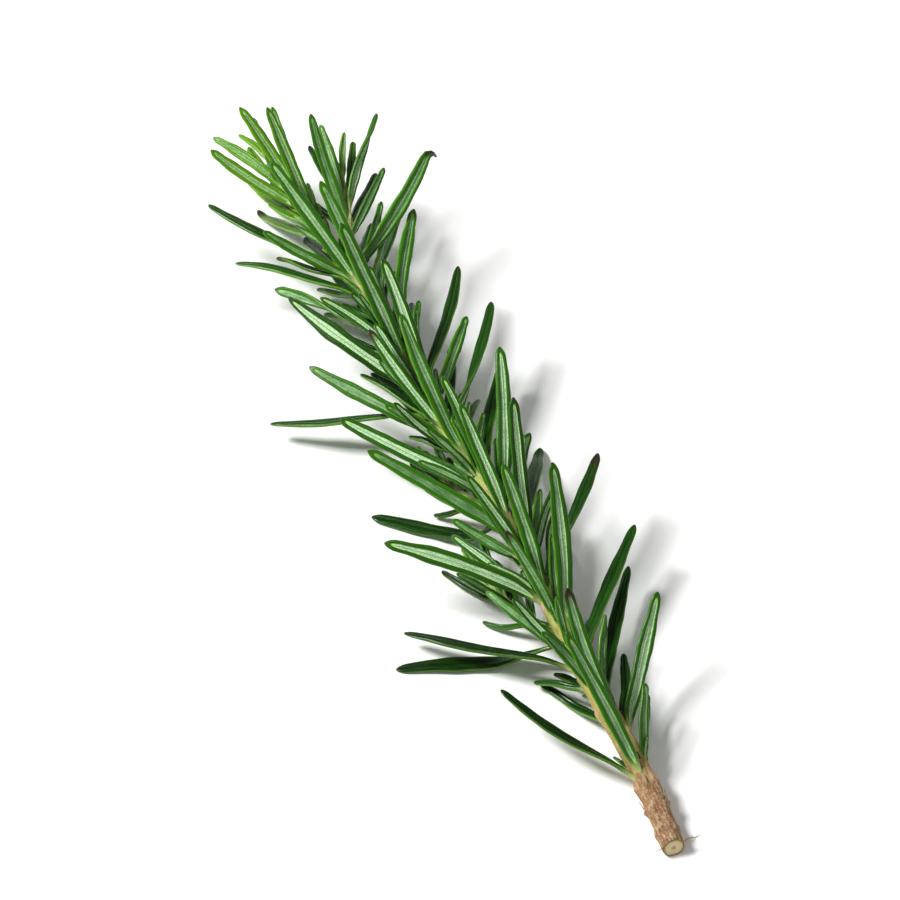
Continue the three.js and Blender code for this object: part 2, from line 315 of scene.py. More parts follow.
def shootLine(plan, place):
    base = stemFrame(place["s"] + shoots["rise"])
    outward = around(base, place["azimuth"] + 180 * plan["side"])
    lean = radians(plan["lean"])
    clear = base["radius"] + shoots["clear"] + shoots["radius"] * math.cos(lean)
    origin = plus(base["origin"], outward, clear)
    stride = plan["length"] / shoots["steps"]
    boxes = []
    for i in range(shoots["steps"] + 1):
        share = i / shoots["steps"]
        forward = turned(base["forward"], outward, lean * (1 - shoots["straightens"] * share))
        forward = settled(forward, origin[2] - shoots["radius"] - blade["tableGap"])
        radius = shoots["radius"] * (1 - shoots["narrows"] * share)
        ring = frameFrom(origin, radius, forward)
        boxes.append((*origin, *forward, *ring["side"], *ring["rise"], radius, radius, stride / 2))
        origin = plus(origin, forward, stride)
    return np.array(boxes)


# Where along a shoot its leaf pairs stand.
def shootPlace(share):
    return shoots["leavesFrom"] + shoots["leavesSpan"] * share


def shootFrame(line, share):
    place = share * (len(line) - 1)
    i = min(len(line) - 2, math.floor(place))
    origin = blended(tuple(line[i, :3]), tuple(line[i + 1, :3]), place - i)
    return frameFrom(origin, line[i, 12], tuple(line[i, 3:6]))


# A side's azimuth at a leaf pair.
def sideAzimuth(pair, side):
    return pair["azimuth"] + 180 * side


# The stem's own boxes, which the leaves have to clear.
def stemCore():
    core = []
    s = woody["length"]
    while s <= stem["length"]:
        place = stemFrame(s)
        size = (place["radius"], place["radius"], stem["coreStep"] / 2)
        core.append((*place["origin"], *place["forward"], *place["side"], *place["rise"], *size))
        s += stem["coreStep"]
    return np.array(core)


def growShoots(places):
    for i, plan in enumerate(shoots["list"]):
        place = places[plan["pair"]]
        addNode(f"side_shoot_{i + 1}", shootLine(plan, place))
        length = along(pairs["lengths"], place["share"]) * shoots["outerLength"]
        placeLeaf("leafy_stem", stemFrame(place["s"]), {
            "azimuth": sideAzimuth(place, plan["side"]), "spread": shoots["outerSpread"], "hug": 1,
            "recurve": shoots["outerRecurve"], "length": length,
        }, seeds["outer"] + i, "main", place["share"])
    for i, plan in enumerate(shoots["list"]):
        node = f"side_shoot_{i + 1}"
        for k in range(shoots["leaves"]):
            share = k / (shoots["leaves"] - 1)
            place = shootFrame(grown[node]["core"], shootPlace(share))
            full = 1 - abs(share - shoots["peak"]) / (1 - shoots["peak"])
            for side in (0, 1):
                placeLeaf(node, place, {
                    "azimuth": shoots["firstAzimuth"] + shoots["turn"] * k + 180 * side,
                    "spread": shoots["spread"][0] + (shoots["spread"][1] - shoots["spread"][0]) * share,
                    "hug": 0.6, "recurve": 0,
                    "length": plan["longest"] * (shoots["shortest"] + (1 - shoots["shortest"]) * full),
                }, seeds["shoot"] + 100 * i + 2 * k + side, "shoot", share)


# The small leaves above one side of a leaf pair.
def growAxil(k, place, side):
    draw = drawer(seeds["axilDraws"] + 10 * k + side)
    count = math.floor(along(axils["counts"], place["share"]) + 0.5)
    for i in range(count):
        if count > 1:
            fan = axils["fan"] * ((2 * i) / (count - 1) - 1)
        else:
            fan = draw(-axils["fan"], axils["fan"])
        azimuth = sideAzimuth(place, side) + fan + draw(*jitter["axilTurn"])
        spread = along(pairs["spreads"], place["share"]) * draw(*axils["spread"])
        length = along(pairs["lengths"], place["share"]) * draw(*axils["share"])
        placeLeaf("leafy_stem", stemFrame(place["s"] + axils["rise"] + axils["step"] * i), {
            "azimuth": azimuth, "spread": spread, "hug": 0.7, "recurve": 3, "length": length,
        }, seeds["axil"] + 100 * k + 10 * side + i, "axil", place["share"])


def growSprig():
    places = pairPlaces()
    addNode("leafy_stem", stemCore())
    for i in range(len(shoots["list"])):
        addNode(f"side_shoot_{i + 1}", np.zeros((0, 15)))
    growShoots(places)
    taken = {(plan["pair"], plan["side"]) for plan in shoots["list"]}
    sides = [(k, place, side) for k, place in enumerate(places) for side in (0, 1) if (k, side) not in taken]
    for k, place, side in sides:
        placeLeaf("leafy_stem", stemFrame(place["s"]), {
            "azimuth": sideAzimuth(place, side), "spread": along(pairs["spreads"], place["share"]),
            "hug": 0.55, "recurve": 2, "length": along(pairs["lengths"], place["share"]),
        }, 10 * k + side, "main", place["share"])
    for k, place, side in sides:
        growAxil(k, place, side)
    return places


leafPairs = growSprig()
print("grown:", {node: len(found["leaves"]) for node, found in grown.items()})


# A smooth curve through even points, read at several shares of its length at once.
def curved(points, shares):
    spans = len(points) - 1
    place = np.clip(shares * spans, 0, spans - 1e-6)
    i = place.astype(int)
    f = (place - i)[:, None]
    ends = np.concatenate([2 * points[:1] - points[1:2], points, 2 * points[-1:] - points[-2:-1]])
    p0, p1, p2, p3 = (ends[i + k] for k in range(4))
    return 0.5 * (2 * p1 + (p2 - p0) * f + (2 * p0 - 5 * p1 + 4 * p2 - p3) * f ** 2
                  + (3 * p1 - p0 - 3 * p2 + p3) * f ** 3)


def units(vectors):
    return vectors / np.linalg.norm(vectors, axis=-1, keepdims=True)


def eased(low, high, value):
    share = np.clip((value - low) / (high - low), 0, 1)
    return share * share * (3 - 2 * share)


# Angles round a ring, in the order that a tube's rings need.
def ringAngles(count):
    return np.arange(count) * (-2 * math.pi / count)


def ringWays(place, angles):
    side, rise = np.array(place["side"]), np.array(place["rise"])
    return np.cos(angles)[:, None] * side + np.sin(angles)[:, None] * rise


# A ring's points for the materials, in the stem's own directions: across, along and up.
def ringPlace(angles, radius, s):
    return np.stack([radius * np.cos(angles), s + 0 * radius, radius * np.sin(angles)], axis=-1)


# Noise on a ring's points: how fine it is around and along the stem, and its own stretch of the noise.
def ringNoise(angles, s, fine, lengthwise, shift=0):
    return np.array([noise.noise(Vector((fine * math.cos(a), lengthwise * s, fine * math.sin(a) + shift)))
                     for a in angles])


# Closed tubes collected into one mesh, with values on their points and a cell each on the baking map.
class Skin:
    def __init__(self, columns, rows):
        self.columns, self.rows = columns, rows
        self.points, self.quads, self.fans, self.quadMap, self.fanMap = [], [], [], [], []
        self.values = {}
        self.tubes = 0
        self.total = 0

    # rings run anticlockwise as seen from the tube's far end
    def tube(self, rings, **values):
        stations, count = rings.shape[:2]
        here = np.arange(stations * count).reshape(stations, count) + self.total
        after = np.roll(here, -1, axis=1)
        self.quads.append(np.stack([here[:-1], after[:-1], after[1:], here[1:]], axis=-1).reshape(-1, 4))
        foot, top = self.total + stations * count, self.total + stations * count + 1
        low = np.stack([np.full(count, foot), after[0], here[0]], axis=-1)
        high = np.stack([np.full(count, top), here[-1], after[-1]], axis=-1)
        self.fans.append(np.concatenate([low, high]))
        self.layMap(stations, count)
        self.points.append(self.capped(rings))
        for name, value in values.items():
            full = np.broadcast_to(value, rings.shape if np.ndim(value) == 3 else rings.shape[:2])
            self.values.setdefault(name, []).append(self.capped(full))
        self.total += stations * count + 2
        self.tubes += 1

    def capped(self, value):
        flat = value.reshape(-1, value.shape[2]) if value.ndim == 3 else value.reshape(-1)
        return np.concatenate([flat, [value[0].mean(axis=0)], [value[-1].mean(axis=0)]])

    # the tube slit open along its seam and laid flat in its own cell
    def layMap(self, stations, count):
        column, row = self.tubes % self.columns, self.tubes // self.columns
        margin, lid = 0.04, 0.01

        def placed(across, up):
            x = (column + margin + (1 - 2 * margin) * across) / self.columns
            y = (row + margin + (1 - 2 * margin) * up) / self.rows
            return np.stack([x, y], axis=-1)

        wide, tall = 1 / count, (1 - 2 * lid) / (stations - 1)
        i, j = np.meshgrid(np.arange(count) * wide, lid + np.arange(stations - 1) * tall)
        square = [placed(i, j), placed(i + wide, j), placed(i + wide, j + tall), placed(i, j + tall)]
        self.quadMap.append(np.stack(square, axis=-2).reshape(-1, 2))
        k = np.arange(count) / count
        zero, one = np.zeros(count), np.ones(count)
        low = [placed(k + wide / 2, zero), placed(k + wide, lid * one), placed(k, lid * one)]
        high = [placed(k + wide / 2, one), placed(k, (1 - lid) * one), placed(k + wide, (1 - lid) * one)]
        self.fanMap.append(np.concatenate([np.stack(low, axis=-2), np.stack(high, axis=-2)]).reshape(-1, 2))

    # the finished piece, in metres, in place of its CAD node
    def piece(self, name, material, node, slot):
        quads, fans = np.concatenate(self.quads), np.concatenate(self.fans)
        corners = np.concatenate([quads.ravel(), fans.ravel()])
        starts = np.concatenate([np.arange(len(quads)) * 4, len(quads) * 4 + np.arange(len(fans)) * 3])
        mesh = bpy.data.meshes.new(name)
        mesh.vertices.add(self.total)
        mesh.vertices.foreach_set("co", (np.concatenate(self.points) * mm).astype(np.float32).ravel())
        mesh.loops.add(len(corners))
        mesh.loops.foreach_set("vertex_index", corners.astype(np.int32))
        mesh.polygons.add(len(starts))
        mesh.polygons.foreach_set("loop_start", starts.astype(np.int32))
        mesh.update(calc_edges=True)
        mesh.validate()
        for key, value in self.values.items():
            flat = np.concatenate(value)
            kind, field = ("FLOAT_VECTOR", "vector") if flat.ndim == 2 else ("FLOAT", "value")
            mesh.attributes.new(key, kind, "POINT").data.foreach_set(field, flat.astype(np.float32).ravel())
        layout = mesh.uv_layers.new(name="OFBake")
        layout.data.foreach_set("uv", np.concatenate(self.quadMap + self.fanMap).astype(np.float32).ravel())
        mesh.shade_smooth()
        mesh.materials.append(material)
        made = bpy.data.objects.new(name, mesh)
        bpy.context.scene.collection.objects.link(made)
        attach(made, "root")
        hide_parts(node)
        print(name, len(corners) - 2 * len(starts), "triangles")
        return made


# A socket with operators, so that shader maths reads as an expression. Without a socket it is the empty tree.
class Wire:
    def __init__(self, tree, socket=None):
        self.tree, self.socket = tree, socket

    def node(self, kind, settings=None, inputs=None, output=0):
        made = self.tree.nodes.new(kind)
        for name, value in (settings or {}).items():
            if name == "stops":
                ramp = made.color_ramp
                for place, colour in value[1:-1]:
                    ramp.elements.new(place)
                for element, (place, colour) in zip(ramp.elements, value):
                    element.position, element.color = place, colour
            else:
                setattr(made, name, value)
        for name, value in (inputs or {}).items():
            if isinstance(value, Wire):
                self.tree.links.new(value.socket, made.inputs[name])
            else:
                made.inputs[name].default_value = value
        return Wire(self.tree, made.outputs[output] if made.outputs else None)

    def maths(self, operation, *values):
        return self.node("ShaderNodeMath", {"operation": operation}, dict(enumerate(values)))

    def __add__(self, other):
        return self.maths("ADD", self, other)

    def __radd__(self, other):
        return self.maths("ADD", other, self)

    def __sub__(self, other):
        return self.maths("SUBTRACT", self, other)

    def __rsub__(self, other):
        return self.maths("SUBTRACT", other, self)

    def __mul__(self, other):
        return self.maths("MULTIPLY", self, other)

    def __rmul__(self, other):
        return self.maths("MULTIPLY", other, self)

    def __abs__(self):
        return self.maths("ABSOLUTE", self)

    def attribute(self, name, output="Fac"):
        return self.node("ShaderNodeAttribute", {"attribute_name": name}, output=output)

    # from 0 to 1, smoothly, between two values
    def step(self, low, high):
        reach = {"Value": self, "From Min": low, "From Max": high}
        return self.node("ShaderNodeMapRange", {"interpolation_type": "SMOOTHSTEP"}, reach)

    # a colour part of the way from one to another
    def mix(self, first, second, share):
        return self.node("ShaderNodeMix", {"data_type": "RGBA"}, {0: share, 6: first, 7: second}, 2)

    # this colour below others, each with its share
    def under(self, look, layers):
        colour = self
        for shade, share in layers:
            colour = self.mix(colour, look[shade], share)
        return colour

    # this vector stretched along its own axes
    def stretched(self, x, y, z):
        return self.node("ShaderNodeVectorMath", {"operation": "MULTIPLY"}, {0: self, 1: (x, y, z)})

    # the distance to the nearest of many scattered spots, seen along this vector's third axis
    def cells(self, scale, randomness):
        return self.node("ShaderNodeTexVoronoi", {"voronoi_dimensions": "2D"}, {
            "Vector": self, "Scale": scale, "Randomness": randomness,
        })

    def noise(self, scale, detail=3, roughness=0.55):
        return self.node("ShaderNodeTexNoise", None, {
            "Vector": self, "Scale": scale, "Detail": detail, "Roughness": roughness,
        })

    # a ramp over this value, from screen colours
    def ramp(self, stops):
        stops = [(spot, screen(*shade)) for spot, shade in stops]
        return self.node("ShaderNodeValToRGB", {"stops": stops}, {"Fac": self})

    def bumped(self, distance, strength):
        return self.node("ShaderNodeBump", None, {"Height": self, "Distance": distance, "Strength": strength})


# A colour as it looks on a screen, as the shader's linear one.
def screen(red, green, blue):
    shares = [value / 255 for value in (red, green, blue)]
    return (*(((v + 0.055) / 1.055) ** 2.4 if v > 0.04 else v / 12.92 for v in shares), 1)


def newPaint(name):
    material = bpy.data.materials.new(name)
    material.use_nodes = True
    material.node_tree.nodes.clear()
    return material, Wire(material.node_tree)


def surface(paint, **inputs):
    named = {key.replace("_", " "): value for key, value in inputs.items()}
    shader = paint.node("ShaderNodeBsdfPrincipled", None, named)
    paint.node("ShaderNodeOutputMaterial", None, {"Surface": shader})


# A finished leaf: half of its section, and how it closes at both ends.
leafShape = {
    "upper": [[1, 0], [0.93, 0.45], [0.78, 0.8], [0.5, 1], [0.22, 0.9], [0.08, 0.5], [0, 0.36]],
    "margin": [[0.93, -0.42], [0.7, -0.82], [0.4, -0.98], [0.15, -0.92], [0, -0.72]],   # rolled under
    "channel": [[0.9, -0.3], [0.55, -0.2], [0.2, -0.42], [0, -0.58]],   # from the roll to the midrib
    "closed": -0.9,
    "lip": 0.42, "lipVaries": [0.88, 1.1], "closedLip": 0.35,    # where the rolled margin ends
    "opens": [0.03, 0.13],    # past the place where it leaves the stem
    "closes": [0.91, 0.985],
    "stalk": [0.0, 0.12],
    "waist": 0.5,          # how much narrower the stalk is
    "rollPasses": 8,
    "scorched": 0.1, "scorch": 0.85,    # share of the leaves with a brown tip, and how brown it is
    "youngFrom": 0.45,     # share of the stem past which leaves look younger
    "youthVaries": [-0.08, 0.08],
    "tip": 0.055,          # share of the length that rounds off
    "tipStations": [0.64, 0.36, 0.17, 0.05, 0], "tipEnd": 0.004, "tipThins": 0.6,
    "blunt": 0.5, "bluntFrom": 0.86,    # how much broader the tip is than the plain leaf's
    "wave": 0.13, "waveOpens": [0.1, 0.4],
    "widthWave": 0.06,
    "ripple": 0.035,       # small unevenness of the edge
    "lipWave": 0.07,
    "emerges": 0.8, "latest": 0.4,    # where it leaves the stem: of the radius, and of its length
    "lowest": 0.02, "patterns": 400,    # how far apart the leaves may be in the patterns of the finish
}
leafKinds = {
    "main": {"stations": 30, "youth": [0.0, 1.0]},
    "axil": {"stations": 22, "youth": [0.25, 0.9]},
    "shoot": {"stations": 24, "youth": [0.45, 0.9]},
    "bud": {"stations": 14, "youth": [0.25, 0.95]},
}


def leafStations(count):
    tip = 1 - leafShape["tip"] * np.array(leafShape["tipStations"])
    return np.concatenate([np.linspace(0, 1 - leafShape["tip"], count - len(tip)), tip])


# Places across, heights and felt of the section's points, one row for each station.
def leafSection(lip, opened, stalk):
    even = np.zeros_like(lip)
    upper = [(even + u, even + v, even) for u, v in leafShape["upper"]]
    under = [(lip + (1 - lip) * u, even + v, even) for u, v in leafShape["margin"]]
    closed = leafShape["closed"]
    under += [(lip * u, closed + (v - closed) * opened, opened) for u, v in leafShape["channel"]]
    points = []
    for half, side in ((upper, 1), (under, -1)):
        points += [(side * u, v, felt) for u, v, felt in half]
        points += [(-side * u, v, felt) for u, v, felt in half[-2::-1]]
    u, v, felt = (np.stack(column, axis=1) for column in zip(*points))
    rounded = np.sign(v) * np.sqrt(np.clip(1 - u * u, 0, 1))
    return u, v + (rounded - v) * stalk[:, None], felt


# The blade's roll along its spine, evened out so that it never pinches.
def evenRoll(forward, across):
    carried = [across[0]]
    for way in forward[1:]:
        last = carried[-1] - way * (way @ carried[-1])
        carried.append(last / np.linalg.norm(last))
    carried = np.array(carried)
    beside = np.cross(forward, carried)
    roll = np.unwrap(np.arctan2((beside * across).sum(1), (carried * across).sum(1)))
    for _ in range(leafShape["rollPasses"]):
        ends = np.concatenate([roll[:1], roll, roll[-1:]])
        roll = (ends[:-2] + 2 * ends[1:-1] + ends[2:]) / 4
    return carried * np.cos(roll)[:, None] + beside * np.sin(roll)[:, None]


# How the finished leaves arch a little more than the plain ones, and the one with a hooked tip.
bends = {
    "sideways": [0.012, 0.036], "upright": [0.008, 0.034],   # of the length
    "outward": 0.7,     # share of the leaves that arch away from the stem
    # tried in this order, sideways and upright, until its neighbours leave room
    "ways": [(1, 1), (-1, 1), (1, -1), (-1, -1), (-0.5, 0.5), (0.5, -0.5), (-0.5, -0.5)],
    "gap": 0.1, "lowest": 0.55,
    "near": 26,         # leaves further along the stem are no neighbours
    # the leaf below the shoot beside the tip
    "hooked": {"seed": seeds["outer"] + 2, "from": 0.87, "angle": 112, "down": [0.75, 0, -1],
               "thin": 0.5, "thinsFrom": 0.82},
}


def archedBoxes(boxes, sideways, upright):
    share = np.linspace(0, 1, len(boxes))[:, None]
    swing = 4 * share * (1 - share) * boxes[0, 14] * 2 * blade["steps"]
    bent = boxes.copy()
    across = evenRoll(boxes[:, 3:6], boxes[:, 6:9])
    across = units(across + across.mean(axis=0))
    inner = np.cross(boxes[:, 3:6], across)
    bent[:, :3] += (across * sideways + inner * upright) * swing
    bent[:, 3:6] = units(np.gradient(bent[:, :3], axis=0))
    slip = (bent[:, 3:6] * bent[:, 6:9]).sum(1, keepdims=True)
    bent[:, 6:9] = units(bent[:, 6:9] - bent[:, 3:6] * slip)
    bent[:, 9:12] = np.cross(bent[:, 3:6], bent[:, 6:9])
    return bent


# Arches every leaf as far as its neighbours leave room.
def archLeaves():
    leaves = [leaf for found in grown.values() for leaf in found["leaves"]]
    cores = [found["core"] for found in grown.values()]
    for leaf in leaves:
        leaf["bent"] = leaf["boxes"]
    for leaf in leaves:
        draw = drawer(leaf["seed"] + seeds["arch"])
        boxes = leaf["boxes"]
        others = np.concatenate(cores + [freeBoxes(other["bent"]) for other in leaves if other is not leaf])
        others = others[np.abs(others[:, 1] - boxes[:, 1].mean()) < bends["near"]]
        needed = min(leastGap(freeBoxes(boxes), others), bends["gap"])
        sideways = draw(*bends["sideways"]) * (1 if draw() < 0.5 else -1)
        upright = draw(*bends["upright"]) * (1 if draw() < bends["outward"] else -1)
        for beside, above in bends["ways"]:
            bent = archedBoxes(boxes, sideways * beside, upright * above)
            if bent[:, 2].min() < min(bends["lowest"], boxes[:, 2].min()):
                continue
            if leastGap(freeBoxes(bent), others) >= needed:
                leaf["bent"] = bent
                break
    print("arched:", sum(leaf["bent"] is not leaf["boxes"] for leaf in leaves), "of", len(leaves))


# A spine whose last part turns down in an arc, with its forward and across directions.
def hooked(spine, forward, across, share, length):
    hook = bends["hooked"]
    first = int(np.searchsorted(share, hook["from"]))
    start, way = spine[first - 1], forward[first - 1]
    down = np.array(hook["down"])
    down = units(down - way * (way @ down))
    radius = length * (1 - share[first - 1]) / radians(hook["angle"])
    turn = np.clip((share - share[first - 1]) / (1 - share[first - 1]), 0, 1) * radians(hook["angle"])
    c, s = np.cos(turn)[:, None], np.sin(turn)[:, None]
    late = (turn > 0)[:, None]
    axle = np.cross(way, down)

    def rotated(vectors):
        return vectors * c + np.cross(axle, vectors) * s + (vectors @ axle)[:, None] * axle * (1 - c)

    spine = np.where(late, start + way * s * radius + down * (1 - c) * radius, spine)
    return spine, np.where(late, rotated(forward), forward), np.where(late, rotated(across), across)


archLeaves()


# The share of its length at which a leaf comes out of its stem.
def emergence(leaf):
    root, boxes = leaf["root"], leaf["bent"]
    away = boxes[:, :3] - np.array(root["origin"])
    forward = np.array(root["forward"])
    clear = np.linalg.norm(away - (away @ forward)[:, None] * forward, axis=1)
    shares = np.arange(len(boxes)) / blade["steps"]
    surface = root["radius"] * leafShape["emerges"]
    return min(leafShape["latest"], float(np.interp(surface, np.maximum.accumulate(clear), shares)))


# A wave along a leaf: so many times over its length, from a drawn start.
def waving(draw, low, high, share):
    return np.sin(2 * math.pi * (draw(low, high) * share + draw()))


def addLeaf(skin, leaf):
    boxes, kind = leaf["bent"], leafKinds[leaf["kind"]]
    draw = drawer(leaf["seed"] + seeds["shape"])
    share = leafStations(kind["stations"])
    length = boxes[0, 14] * 2 * blade["steps"]
    out = emergence(leaf)
    spine = curved(boxes[:, :3], share)
    forward = units(curved(boxes[:, 3:6], share))
    across = curved(evenRoll(boxes[:, 3:6], boxes[:, 6:9]), share)
    across = units(across - forward * (forward * across).sum(1, keepdims=True))
    isHooked = leaf["seed"] == bends["hooked"]["seed"]
    if isHooked:
        spine, forward, across = hooked(spine, forward, across, share, length)
    inner = np.cross(forward, across)
    rounding = np.clip((share - 1 + leafShape["tip"]) / leafShape["tip"], 0, 1)
    taper = np.sqrt(np.clip(1 - rounding ** 2, leafShape["tipEnd"], 1))
    stalk = 1 - eased(out + leafShape["stalk"][0], out + leafShape["stalk"][1], share)
    width = curved(boxes[:, 12:13], share)[:, 0] * taper * (1 - leafShape["waist"] * stalk)
    width *= 1 + leafShape["blunt"] * eased(leafShape["bluntFrom"], 1, share)
    width *= 1 + leafShape["widthWave"] * waving(draw, 1.6, 2.6, share)
    width *= 1 + leafShape["ripple"] * waving(draw, 5, 8, share)
    if isHooked:
        width *= 1 - bends["hooked"]["thin"] * eased(bends["hooked"]["thinsFrom"], 1, share)
    thick = curved(boxes[:, 13:14], share)[:, 0] * taper ** leafShape["tipThins"]
    wave = leafShape["wave"] * waving(draw, 1, 1.8, share)
    spine = spine + inner * (wave * eased(*leafShape["waveOpens"], share))[:, None]
    lip = leafShape["lip"] * draw(*leafShape["lipVaries"])
    lip = lip * (1 + leafShape["lipWave"] * waving(draw, 1, 3, share))
    opened = eased(out + leafShape["opens"][0], out + leafShape["opens"][1], share)
    opened = opened * (1 - eased(*leafShape["closes"], share))
    lip = lip * (leafShape["closedLip"] + (1 - leafShape["closedLip"]) * opened)
    u, v, felt = leafSection(lip, opened, stalk)
    rings = (spine[:, None] + across[:, None] * (u * width[:, None])[..., None]
             + inner[:, None] * (v * thick[:, None])[..., None])
    rings[..., 2] = np.maximum(rings[..., 2], leafShape["lowest"])
    low, high = kind["youth"]
    youth = low + (high - low) * eased(leafShape["youngFrom"], 1, leaf["share"])
    youth = youth + draw(*leafShape["youthVaries"])
    scorch = 1.0 if isHooked else leafShape["scorch"] * (draw() < leafShape["scorched"])
    offset = draw(0, leafShape["patterns"])
    place = np.stack([u * width[:, None], offset + share[:, None] * length + 0 * u, 2 * v], axis=-1)
    skin.tube(rings, side=u, height=v, reach=share[:, None], felt=felt, tone=draw(), shift=draw(),
              youth=youth, scorch=scorch, stalk=stalk[:, None], place=place)


def leafPiece(name, leaves, columns, rows, material, node, slot):
    skin = Skin(columns, rows)
    for leaf in leaves:
        addLeaf(skin, leaf)
    return skin.piece(name, material, node, slot)


# Tight young leaves in the axils, too small for the plain model.
buds = {
    "count": 3, "length": [3.4, 7.4], "width": [0.9, 1.45], "thin": 0.6, "hug": 0.5,
    "spread": [8, 34], "rise": [0.8, 2.4], "fan": 50, "recurve": [-22, 12], "swerve": [-10, 10],
    "looksAt": 0.4,    # share of the stem where the lowest of them look as old as the leaves
}


def growBuds():
    made = []
    for k, place in enumerate(leafPairs):
        for side in (0, 1):
            draw = drawer(seeds["budDraws"] + 10 * k + side)
            for i in range(buds["count"]):
                root = stemFrame(place["s"] + draw(*buds["rise"]))
                boxes = growLeaf(root, {
                    "azimuth": sideAzimuth(place, side) + draw(-1, 1) * buds["fan"],
                    "length": draw(*buds["length"]), "width": draw(*buds["width"]),
                    "spread": draw(*buds["spread"]), "recurve": draw(*buds["recurve"]),
                    "swerve": draw(*buds["swerve"]), "twist": draw(*jitter["twist"]), "hug": buds["hug"],
                })
                boxes[:, 13] *= buds["thin"]
                made.append({
                    "bent": boxes, "kind": "bud", "root": root,
                    "share": buds["looksAt"] + (1 - buds["looksAt"]) * place["share"],
                    "seed": seeds["bud"] + 100 * k + 10 * side + i,
                })
    return made


# The leafy stem: four-sided while young, swollen where the leaves stand, with a ridge below each.
stemLook = {
    "step": 0.4, "around": 56, "square": 0.07,
    "swell": 0.3, "swellSpan": 1.15, "evenSwell": 0.35, "nodeReach": 10,
    "ridge": 0.17, "ridgeSpan": 7.5, "ridgeTop": 0.5, "ridgeSharp": 1.875,
    "rough": 0.06, "roughNoise": [2.2, 0.45, 31], "furrow": 0.1, "furrowNoise": [5, 0.12, 57],
    "start": 10.2, "barkFades": [11, 24], "dip": 0.3, "dips": [10.2, 11],
    "shootRoot": [3, 1.5], "shootRootRadius": [0.95, 0.85], "shootStations": 60,
    "shootReach": [0.82, 1],    # where on the main stem a shoot has its colours from
}


# Two lobes round a ring, one on each side, where a pair's leaves stand.
def lobesOf(pair, angles):
    return (0.5 + 0.5 * np.cos(2 * (angles - radians(pair["azimuth"])))) ** 2


# The share of its height that the swelling at a leaf pair has.
def swellAt(pair, s, angles):
    bump = math.exp(-(((s - pair["s"]) / stemLook["swellSpan"]) ** 2))
    return bump * (stemLook["evenSwell"] + (1 - stemLook["evenSwell"]) * lobesOf(pair, angles))


# The share of its height that the ridge below each leaf of a pair has.
def ridgeBelow(pair, s, angles):
    away = s - pair["s"]
    if not -stemLook["ridgeSpan"] < away < stemLook["ridgeTop"]:
        return 0 * angles
    return min(1, 1 + away / stemLook["ridgeSpan"]) * lobesOf(pair, angles) ** stemLook["ridgeSharp"]


# Rings of a stem from its frames, with the swellings and ridges of the given leaf pairs.
def addStem(skin, places, frames, nodes, reach, barked=False):
    angles = ringAngles(stemLook["around"])
    even = np.zeros(len(angles))
    rings, swollen, ridged, local = [], [], [], []
    for s, place in zip(places, frames):
        near = min(nodes, key=lambda node: abs(node["s"] - s))
        beside = [node for node in nodes if abs(s - node["s"]) <= stemLook["nodeReach"]]
        swell = sum((swellAt(node, s, angles) for node in beside), even)
        ridge = sum((ridgeBelow(node, s, angles) for node in beside), even)
        bumps = (stemLook["swell"] * swell + stemLook["ridge"] * ridge
                 + stemLook["rough"] * ringNoise(angles, s, *stemLook["roughNoise"])
                 + stemLook["furrow"] * ringNoise(angles, s, *stemLook["furrowNoise"]))
        radius = place["radius"] * (1 + stemLook["square"] * np.cos(4 * (angles - radians(near["azimuth"]))))
        radius += (place["radius"] / stem["baseRadius"]) ** 0.5 * bumps
        if barked:
            radius += (1 - eased(*stemLook["barkFades"], s)) * barkRelief(s, angles)
            radius -= stemLook["dip"] * (1 - eased(*stemLook["dips"], s))
        rings.append(np.array(place["origin"]) + ringWays(place, angles) * radius[:, None])
        swollen.append(swell)
        ridged.append(ridge)
        local.append(ringPlace(angles, radius, s))
    skin.tube(np.array(rings), swollen=np.array(swollen), ridged=np.array(ridged), reach=reach[:, None],
              place=np.array(local))


def mainStem(material):
    places = np.arange(stemLook["start"], stem["length"] + 0.01, stemLook["step"])
    skin = Skin(1, 1)
    addStem(skin, places, [stemFrame(s) for s in places], leafPairs, places / stem["length"], True)
    return skin.piece("main_stem", material, "leafy_stem", "foliage")


def shootStem(node, material):
    core = grown[node]["core"]
    root = np.array(stemLook["shootRoot"])
    line = np.concatenate([core[0, :3] - core[0, 3:6] * root[:, None], core[:, :3]])
    ways = np.concatenate([core[:1, 3:6], core[:1, 3:6], core[:, 3:6]])
    radii = np.concatenate([stemLook["shootRootRadius"], core[:, 12]])[:, None]
    share = np.linspace(0, 1, stemLook["shootStations"])
    length = core[0, 14] * 2 * shoots["steps"]
    frames = [frameFrom(tuple(p), r[0], unit(tuple(w)))
              for p, r, w in zip(curved(line, share), curved(radii, share), curved(ways, share))]
    nodes = [{"s": root[0] + length * shootPlace(k / (shoots["leaves"] - 1)),
              "azimuth": shoots["firstAzimuth"] + shoots["turn"] * k} for k in range(shoots["leaves"])]
    low, high = stemLook["shootReach"]
    skin = Skin(1, 1)
    addStem(skin, share * (length + root[0]), frames, nodes, low + (high - low) * share)
    return skin.piece(node + "_stem", material, node, "young_foliage")


